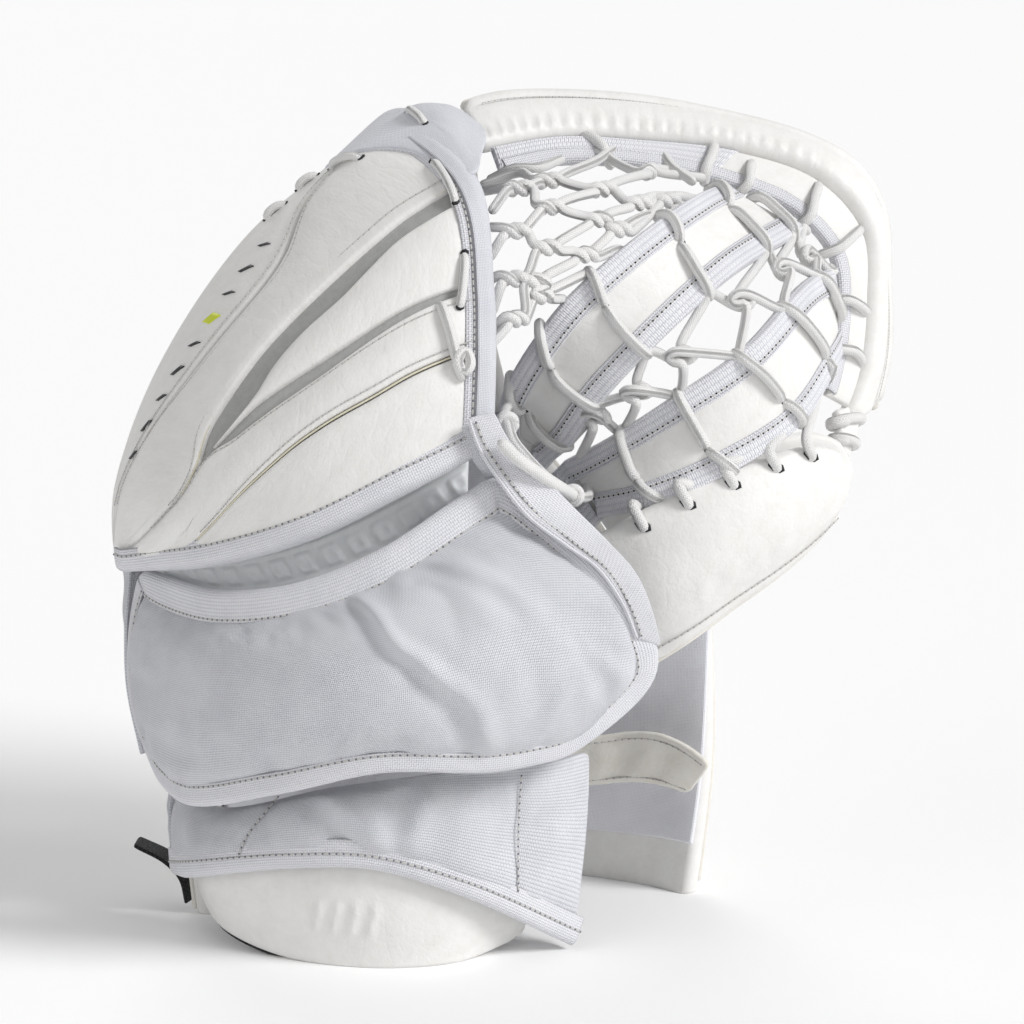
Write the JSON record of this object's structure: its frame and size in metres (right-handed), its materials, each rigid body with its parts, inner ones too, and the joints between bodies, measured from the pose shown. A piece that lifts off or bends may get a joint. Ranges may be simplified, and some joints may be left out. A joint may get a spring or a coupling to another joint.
{
  "type": "goalie catch glove",
  "caption": "Left-hand ice hockey goalkeeper's catching glove with a laced double-T pocket, padded finger shell, backhand pad and open cuff.",
  "frame": {"origin": "on the ground under the centre of the bounding box, with the glove standing on its cuff", "axes": "+Z from the cuff to the fingertips, +Y out of the catching face, +X to the thumb side"},
  "size_m": [0.3826, 0.2254, 0.4002],
  "materials": {
    "white_leather": "smooth, slightly glossy synthetic leather",
    "nylon": "matte woven nylon",
    "binding_tape": "woven grosgrain tape",
    "lace": "waxed braided lace",
    "grey_insert": "satin grey",
    "guard_plastic": "satin moulded sheet",
    "black_webbing": "matte black webbing and lining"
  },
  "bodies": {
    "palm": {"cuff_board": "white_leather", "cuff_liner": "nylon", "cuff_shell": "white_leather", "cuff_shell_lining": "black_webbing", "finger_backing": "nylon", "finger_board": "white_leather", "finger_bottom_binding": "binding_tape", "finger_edge_binding": "binding_tape", "finger_knuckle_panel": "white_leather", "finger_lower_panel": "white_leather", "finger_side_panel": "white_leather", "finger_upper_panel": "white_leather", "finger_wedge_panel": "white_leather", "fingertip_cap": "white_leather", "index_stall": "nylon", "knuckle_guard": "guard_plastic", "lace_tail_lower": "lace", "lace_tail_upper": "lace", "little_stall": "nylon", "lower_groove_insert": "grey_insert", "middle_stall": "nylon", "net_finger_side": "lace", "net_middle": "lace", "palm_board": "white_leather", "palm_liner": "nylon", "pocket_rim": "white_leather", "pocket_rim_bend": "white_leather", "ring_stall": "nylon", "thumb_lacing": "lace", "upper_groove_insert": "grey_insert", "web_arm_left": "white_leather", "web_arm_right": "white_leather", "web_crossbar": "white_leather", "web_crossbar_bend": "white_leather"},
    "thumb": {"thumb_shell": "white_leather", "thumb_board": "white_leather", "thumb_stall": "nylon", "pocket_rim_thumb_end": "white_leather"},
    "backhand": {"backhand_pad": "nylon", "backhand_binding": "binding_tape"},
    "wrap": {"wrist_wrap": "nylon", "wrist_wrap_binding": "binding_tape"},
    "strap": {"wrist_strap": "white_leather"},
    "tab": {"pull_tab": "black_webbing"}
  },
  "joints": [
    {"name": "thumb_break", "type": "hinge", "parent": "palm", "child": "thumb", "pos_m": [0.0243, 0.0279, 0.236], "axis": [-0.4811, -0.135, 0.8662], "range_deg": [0, 20], "deforming": ["web_arm_right", "net_middle", "thumb_lacing", "pocket_rim_bend", "web_crossbar_bend"]},
    {"name": "backhand_pad_lift", "type": "hinge", "parent": "palm", "child": "backhand", "pos_m": [-0.1857, -0.0071, 0.13], "axis": [0, 0, -1], "range_deg": [0, 20]},
    {"name": "wrist_wrap_open", "type": "hinge", "parent": "palm", "child": "wrap", "pos_m": [-0.1697, -0.0011, 0.05], "axis": [0, 0, -1], "range_deg": [0, 10]},
    {"name": "wrist_strap_peel", "type": "hinge", "parent": "palm", "child": "strap", "pos_m": [0.0143, 0.0329, 0.072], "axis": [0, 0, -1], "range_deg": [-10, 20]},
    {"name": "pull_tab_swing", "type": "hinge", "parent": "palm", "child": "tab", "pos_m": [-0.16, 0.014, 0.005], "axis": [0, -1, 0], "range_deg": [0, 30]}
  ]
}
